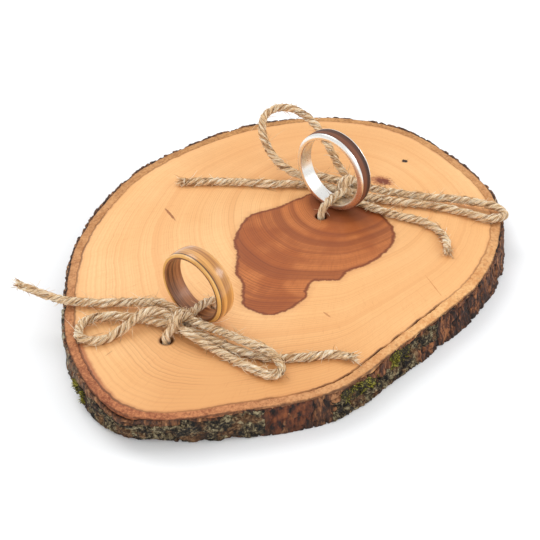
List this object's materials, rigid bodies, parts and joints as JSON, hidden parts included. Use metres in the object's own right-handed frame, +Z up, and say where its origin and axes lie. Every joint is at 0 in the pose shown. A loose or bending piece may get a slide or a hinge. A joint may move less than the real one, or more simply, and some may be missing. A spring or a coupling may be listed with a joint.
{
  "type": "ring bearer pillow",
  "caption": "Live-edge wood slice that carries two wedding rings, each stood on edge and tied down with a bow of jute twine through two drilled holes.",
  "frame": {"origin": "centre of the bounding box of the slice and the rings, on the underside that rests on the table", "axes": "+Z up out of the sawn top face, +Y to the back along the slice's longer side, +X to the right"},
  "size_m": [0.1332, 0.138, 0.0333],
  "materials": {
    "sapwood": "sanded and thinly oiled end grain, pale with a darker brown heart",
    "inner_bark": "matt fibrous inner bark",
    "outer_bark": "rough, cracked dark bark",
    "lichen": "dry grey-green crust",
    "moss": "short yellow-green moss",
    "oak": "bentwood under a satin lacquer",
    "walnut": "dark wood under a satin lacquer",
    "silver": "polished",
    "jute": "three-ply jute, hairy"
  },
  "bodies": {
    "root": {"wood_slice": "sapwood", "inner_bark": "inner_bark", "outer_bark": "outer_bark", "front_lichen": "lichen", "right_lichen": "lichen", "right_moss": "moss", "left_moss": "moss", "front_knot": "jute", "front_left_tail": "jute", "front_left_loop": "jute", "front_right_loop": "jute", "front_right_tail": "jute", "front_under": "jute", "rear_knot": "jute", "rear_left_tail": "jute", "rear_raised_loop": "jute", "rear_right_loop": "jute", "rear_right_tail": "jute", "rear_under": "jute"},
    "front_tie": {"front_tie": "jute"},
    "front_ring": {"front_ring_liner": "walnut", "front_ring_band": "oak", "front_ring_pinstripe": "walnut", "front_ring_pale_edge": "oak"},
    "rear_tie": {"rear_tie": "jute"},
    "rear_ring": {"rear_ring_sleeve": "silver", "rear_ring_inlay": "walnut", "rear_ring_front_edge": "silver", "rear_ring_back_edge": "silver"}
  },
  "joints": [
    {"name": "front_ring_lean", "type": "hinge", "parent": "root", "child": "front_tie", "pos_m": [-0.024, -0.031, 0.0093], "axis": [-0.7547, 0.6561, 0], "range_deg": [-8, 8]},
    {"name": "front_ring_turn", "type": "hinge", "parent": "front_tie", "child": "front_ring", "pos_m": [-0.024, -0.031, 0.0196], "axis": [0.6561, 0.7547, 0], "continuous": true},
    {"name": "rear_ring_lean", "type": "hinge", "parent": "root", "child": "rear_tie", "pos_m": [0.0123, 0.0192, 0.0093], "axis": [-0.7547, 0.6561, 0], "range_deg": [-8, 8]},
    {"name": "rear_ring_turn", "type": "hinge", "parent": "rear_tie", "child": "rear_ring", "pos_m": [0.0123, 0.0192, 0.0213], "axis": [0.6561, 0.7547, 0], "continuous": true}
  ]
}
